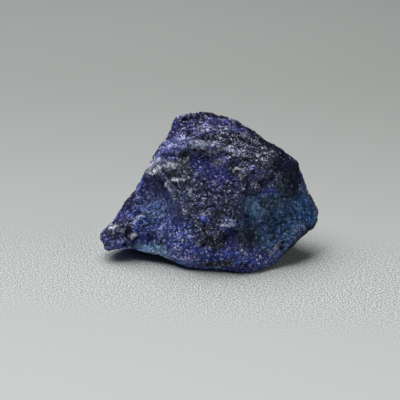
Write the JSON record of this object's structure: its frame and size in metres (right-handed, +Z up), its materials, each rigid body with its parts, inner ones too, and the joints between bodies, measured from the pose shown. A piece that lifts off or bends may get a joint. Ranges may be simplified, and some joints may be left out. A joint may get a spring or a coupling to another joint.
{
  "type": "rough afghanite mineral specimen",
  "caption": "Rough broken piece of deep blue massive afghanite, wedge-shaped, with a spur on the left and a shell-shaped hollow on the right. It rests on worn low points.",
  "frame": {"origin": "under the middle of the stone's bounding box, on the surface that it rests on", "axes": "+X to the stone's right as its main face is seen, away from the spur; -Y out of the main face, towards the viewer; +Z up"},
  "size_m": [0.037, 0.0216, 0.0237],
  "materials": {
    "afghanite": "granular broken surface, dull to glassy"
  },
  "bodies": {
    "root": {"afghanite_stone": "afghanite"}
  },
  "joints": []
}
